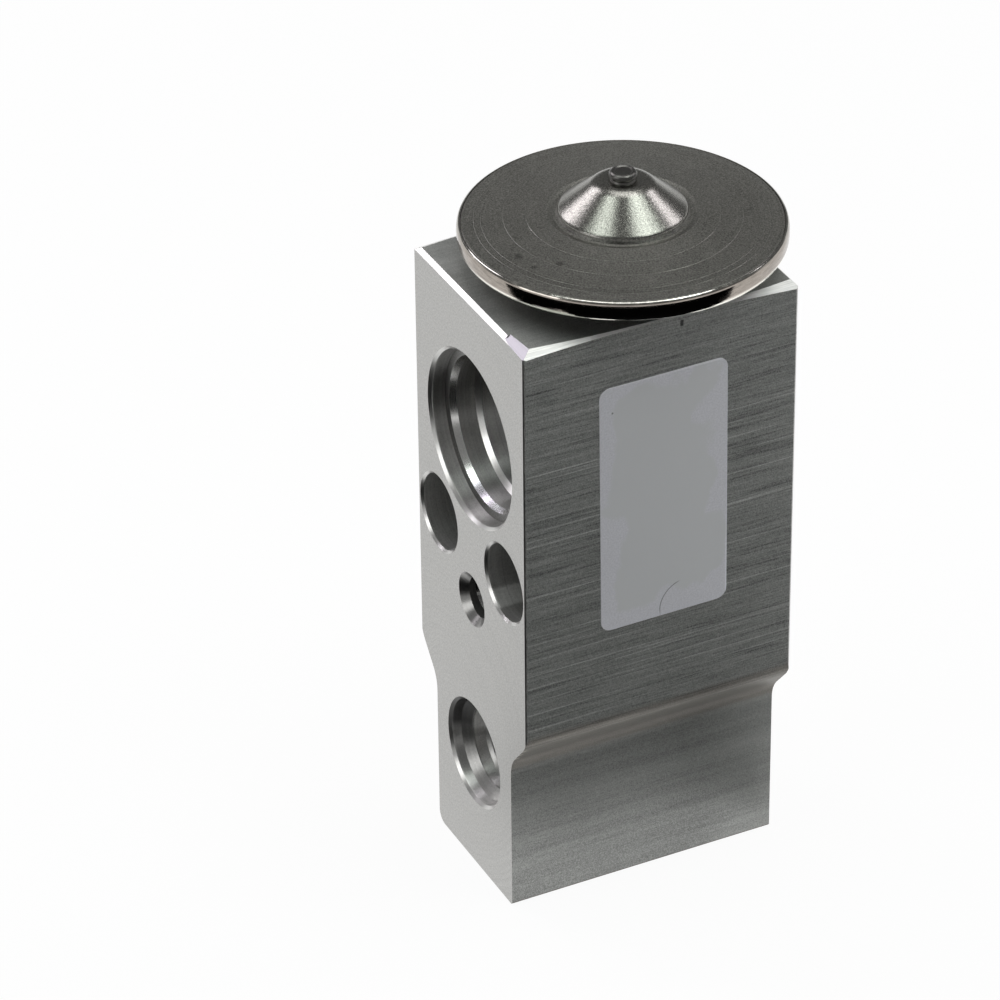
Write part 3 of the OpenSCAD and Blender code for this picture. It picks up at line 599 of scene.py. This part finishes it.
foil = Finish("label_foil", (0.46, 0.465, 0.475), 0.4, 0.45)
from_far_edges = (LABEL_HIGH.y - foil.y).least(LABEL_HIGH.z - foil.z)
border = (foil.y - LABEL_LOW.y).least(foil.z - LABEL_LOW.z).least(from_far_edges)
cloud = foil.noise(0.13, 3.0, 0.5)
lifted = (border - 14.0 * (cloud - 0.44)).step(2.0, 1.0)
foil_grain = foil.noise(4.5, 2.0, 0.7)
scratch_y = foil.y - SCRATCH_CENTRE[0]
scratch_z = foil.z - SCRATCH_CENTRE[1]
scratch_off = abs(scratch_y.reach(scratch_z) - SCRATCH_RADIUS)
scratch = scratch_off.step(0.09, 0.04) * scratch_y.step(-0.6, -1.4) * scratch_z.step(-1.4, 0.6)
dot = (foil.y - DOT_PLACE[0]).reach(foil.z - DOT_PLACE[1]).step(0.16, 0.08)
foil_value = 0.725 + (0.035 + 0.30 * (foil_grain - 0.5)) * lifted + 0.02 * (foil_grain - 0.5)
foil_value = foil_value * (1 - 0.55 * scratch) * (1 - 0.6 * dot) + 0.16 * from_far_edges.step(0.28, 0.12)
flat_foil = foil.grey(foil_value, (0.985, 0.992, 1.015))
foil.paint(base_color=foil.mix(lifted, flat_foil, foil.grey(foil_value, (0.99, 0.985, 1.045))))
foil.paint(roughness=0.45 + 0.08 * (foil_grain - 0.5))
dress(foil, "label")
print("label finish made")

# %% [markdown]
# ## The head
# The two covers are pressed and turned from steel. The disc is dull and dark, painted a little darker
# toward the camera as shade, with a fine grain, faint turning lines near its edge and a few oily
# fingermarks. The dome is smoother, rubbed along its slope. The lip round the rim is polished at its foot,
# and browned above it by the heat of the weld, and its crest carries a patchy painted highlight, strongest
# on the camera's side.
# Each grade could be a material, but they run into one another, so one steel is graded by its distance
# from the axis. The charge plug is a darker steel, made with the inner metals.

# %% Head: places and grains
HEAD_RADIUS = box_in_mm("lower_cover")[1].x
LIP = 0.45
LIP_FOOT = 81.65
DOME_FOOT_RADIUS = 7.5

steel = Finish("head_steel", (0.3, 0.3, 0.29), 1.0, 0.3)
radius = steel.x.reach(steel.y)
rim = radius.step(HEAD_RADIUS - LIP - 0.03, HEAD_RADIUS - LIP + 0.03)
dome = radius.step(DOME_FOOT_RADIUS + 0.05, DOME_FOOT_RADIUS - 0.1)
toward_camera = 0.898 * steel.x - 0.44 * steel.y
grain = steel.noise(5.5, 2.0, 0.7)
rubbed = steel.noise(3.4, 3.0, 0.8, stretch=(1, 1, 2.5))
coarse = steel.noise(0.25, 3.0, 0.5)
patchy = steel.noise(1.2, 3.0, 0.7)
round_rim = steel.joined(HEAD_RADIUS * steel.y.angle_of(steel.x), 0.0, 6.0 * steel.z)
streaky = steel.noise(0.5, 4.0, 0.65, place=round_rim)
turning = steel.noise(3.0, 3.0, 0.7, place=steel.joined(radius, 0.0, 0.0))
print("head radius in mm:", round(HEAD_RADIUS, 2))

# %% Disc, dome and rim
FINGERMARKS = [(2.82, -14.67, 0.75), (6.73, -11.49, 0.7), (5.7, -14.2, 0.5)]


def fingermark(x, y, size):
    """A soft dark spot on the disc."""
    return ((steel.x - x).reach(steel.y - y) + 0.5 * (rubbed - 0.5)).step(size, size * 0.3)


edge_share = 0.05 + 0.13 * radius.step(13.5, 16.5)
disc_value = 0.218 + 0.56 * (grain - 0.5) + 0.07 * (coarse - 0.5) + edge_share * (turning - 0.5)
ring_edge = steel.nz.step(0.95, 0.85) * (1 - dome) * (1 - rim)
disc_value = disc_value * (1 - ring_edge * (0.15 + 2.4 * (coarse - 0.5)).least(0.7).most(0.0))
smudges = fingermark(*FINGERMARKS[0])
for mark in FINGERMARKS[1:]:
    smudges = smudges.most(fingermark(*mark))
# The disc is painted darker toward the camera, as shade.
disc_value = disc_value * (1.1 - 0.016 * toward_camera) * (1 - 0.4 * smudges)
dome_value = 0.245 + 0.14 * (rubbed - 0.5) + 0.45 * (grain - 0.5)
polished = steel.z.step(LIP_FOOT + 0.75, LIP_FOOT + 0.35)
lip_crest = steel.nz.step(0.3, 0.7)
# The lip's crest gets a patchy painted highlight, strongest on the camera's side.
painted_highlight_side = (toward_camera / HEAD_RADIUS).step(0.62, 0.85)
crest_painted_highlight = (lip_crest * (patchy - 0.32)).most(0.0) * (0.1 + 0.9 * painted_highlight_side)
rim_value = 0.36 + 0.62 * polished + 1.6 * crest_painted_highlight + 0.45 * (streaky - 0.5)
head_value = disc_value.blend(dome_value, dome).blend(rim_value, rim)
tarnish = rim * (1 - polished) * (1 - lip_crest)
clean = steel.grey(head_value, (1.0, 0.985, 0.90))
steel.paint(base_color=steel.mix(tarnish, clean, steel.grey(head_value, (1.0, 0.90, 0.80))))
steel.paint(roughness=0.42 - 0.19 * dome - 0.31 * rim + 0.16 * (grain - 0.5) * (1 - rim)
            + 0.25 * (patchy - 0.5) * rim)
steel.relief(0.6 * grain * (1 - rim) + 0.35 * rubbed * dome, 0.02 * MM)
dress(steel, "upper_cover", "lower_cover", "diaphragm")
print("head finish:", len(steel.tree.nodes), "nodes")

# %% [markdown]
# ## A thread in the small hole
# The solids show the M6 hole plain. Its thread is one long ridge that climbs round the wall by a
# millimetre a turn. Flat rings would look alike from outside, but they don't climb and would never take a
# screw. So it is made as the real one runs: a triangle is carried along a helix, and every step joins the
# triangle before it.

# %% Thread of the M6 hole
STUD_RADIUS = 2.5 * MM
THREAD_DEPTH = 0.26 * MM
THREAD_PITCH = 1.0 * MM
THREAD_TURNS = 10
THREAD_START = Vector((0.0, (PIPE_FACE + 1.6) * MM, STUD_HEIGHT * MM))
THREAD_STEPS = 36
HALF_BASE = 0.42 * THREAD_PITCH
SUNK_RADIUS = STUD_RADIUS + 0.03 * MM

thread_points = []
for i in range(THREAD_TURNS * THREAD_STEPS + 1):
    turn = 2 * math.pi * i / THREAD_STEPS
    forward = THREAD_PITCH * i / THREAD_STEPS
    profile = ((SUNK_RADIUS, -HALF_BASE), (STUD_RADIUS - THREAD_DEPTH, 0.0), (SUNK_RADIUS, HALF_BASE))
    for reach, shift in profile:
        offset = Vector((reach * math.cos(turn), forward + shift, reach * math.sin(turn)))
        thread_points.append(THREAD_START + offset)
last = len(thread_points) - 1
thread_faces = [(3 * i + a, 3 * i + a + 3, 3 * i + b + 3, 3 * i + b)
                for i in range(THREAD_TURNS * THREAD_STEPS) for a, b in ((0, 1), (1, 2), (2, 0))]
thread_faces += [(0, 1, 2), (last, last - 1, last - 2)]
stud_thread = mesh_piece("stud_thread", thread_points, thread_faces)
thread_metal = Finish("cut_thread", (0.6, 0.6, 0.58), 1.0, 0.25)
thread_grain = thread_metal.noise(4.0, 3.0, 0.6)
thread_metal.paint(base_color=thread_metal.grey(0.21 + 0.14 * (thread_grain - 0.5), CUT_TINT))
thread_metal.paint(roughness=0.24 + 0.1 * (thread_grain - 0.5))
stud_thread.data.materials.append(thread_metal.material)
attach(stud_thread, "block")
print("thread:", len(stud_thread.data.polygons), "faces")

# %% [markdown]
# ## A wound spring
# The superheat spring stands in the adjusting screw's cup and holds the ball up. It is wound from one
# wire, with a closed turn at each end for a flat seat. The solid spring is rigid, so it would sink into
# the cup as the valve opens, and it can't be bent from here. The same coil is swept again, with a rounder
# wire, and takes the solid's place.

# %% Superheat spring
SPRING_WIRE = 1.0 * MM
SPRING_TURNS = 6
VALVE_LIFT = next(-joint["range_m"][0] for joint in frame["joints"] if joint["name"] == "valve_lift")


def wound_spring(name, low, high, wire, turns):
    """A coil that fills the box between two corners, with a closed turn at each end."""
    steps, sides = 48, 16
    radius = (high.x - low.x) / 2 - wire / 2
    closed = 1.04 * wire
    opened = (high.z - low.z - wire - 2 * closed) / (turns - 2)
    points = []
    for i in range(turns * steps + 1):
        turn = i / steps
        rise = (closed * min(turn, 1) + opened * min(max(turn - 1, 0), turns - 2)
                + closed * max(turn - turns + 1, 0))
        for side in range(sides):
            angle = 2 * math.pi * side / sides
            reach = radius + wire / 2 * math.cos(angle)
            height = low.z + wire / 2 + rise + wire / 2 * math.sin(angle)
            around = 2 * math.pi * turn
            points.append((reach * math.cos(around), reach * math.sin(around), height))
    faces = [(i * sides + a, (i + 1) * sides + a, (i + 1) * sides + b, i * sides + b)
             for i in range(turns * steps) for a in range(sides) for b in ((a + 1) % sides,)]
    faces += [tuple(range(sides)), tuple(range(len(points) - 1, len(points) - sides - 1, -1))]
    coil = mesh_piece(name, points, faces)
    coil.data.polygons.foreach_set("use_smooth", [len(face) == 4 for face in faces])
    return coil


spring_low, spring_high = (Vector(corner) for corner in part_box("superheat_spring"))
spring_length = spring_high.z - spring_low.z
coil_spring = wound_spring("coil_spring", spring_low, spring_high, SPRING_WIRE, SPRING_TURNS)
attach(coil_spring, "stem")
1 - VALVE_LIFT / spring_length
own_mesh(coil_spring)
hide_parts("superheat_spring")
print("spring in mm:", round(spring_length / MM, 2), "long,", len(coil_spring.data.polygons), "faces")

# %% [markdown]
# ## The inner pieces
# They show only through the ports and from below, yet each has its own metal or rubber. Single colours
# would do at that distance, but an opened valve would look like plastic. The metals differ only in
# colour, polish and grain, so one function makes them all, and another makes the two rubbers.

# %% Inner metals and seals


def plain_metal(name, color, roughness, grain_scale, spread):
    """A metal whose brightness and polish vary a little with a fine grain."""
    metal = Finish(name, color, 1.0, roughness)
    grain = metal.noise(grain_scale, 3.0, 0.6)
    metal.paint(base_color=metal.grey(1 + 2 * spread * (grain - 0.5), color))
    metal.paint(roughness=roughness + 0.15 * (grain - 0.5))
    return metal


def rubber(name, color):
    """Moulded rubber: a soft sheen, with dusty patches and a fine pebble."""
    moulded = Finish(name, color, 0.0, 0.55)
    dust = moulded.noise(0.8, 3.0, 0.6)
    pebble = moulded.noise(9.0, 2.0, 0.6)
    moulded.paint(base_color=moulded.grey(1 + 0.9 * (dust - 0.5), color))
    moulded.paint(roughness=0.5 + 0.3 * (dust - 0.5))
    moulded.relief(pebble, 0.01 * MM)
    return moulded


ground_steel = plain_metal("ground_steel", (0.56, 0.56, 0.55), 0.25, 1.5, 0.12)
hard_steel = plain_metal("hard_steel", (0.62, 0.62, 0.62), 0.14, 1.0, 0.05)
spring_steel = plain_metal("spring_steel", (0.50, 0.50, 0.49), 0.3, 4.0, 0.15)
plug_steel = plain_metal("plug_steel", (0.13, 0.127, 0.12), 0.34, 5.0, 0.4)
screw_brass = plain_metal("screw_brass", (0.68, 0.50, 0.24), 0.32, 2.0, 0.12)
leaf_bronze = plain_metal("leaf_bronze", (0.62, 0.40, 0.22), 0.35, 2.0, 0.12)
green_rubber = rubber("green_rubber", (0.03, 0.16, 0.08))
black_rubber = rubber("black_rubber", (0.025, 0.025, 0.025))
dress(plug_steel, "charge_plug")
dress(ground_steel, "sensing_rod", "thrust_disc", "ball_carrier")
dress(hard_steel, "push_pin", "valve_ball")
dress(spring_steel, "superheat_spring", "seal_retainer")
coil_spring.data.materials.append(spring_steel.material)
dress(screw_brass, "adjusting_screw")
dress(leaf_bronze, "damping_spring")
dress(green_rubber, "head_gasket")
dress(black_rubber, "rod_seal", "adjuster_oring")
print("inner finishes made")

# %% [markdown]
# ## Look
# A photograph on white paper needs its white to stay white, so the picture is shown without a film look.

# %% Look
bpy.context.scene.view_settings.view_transform = "Standard"
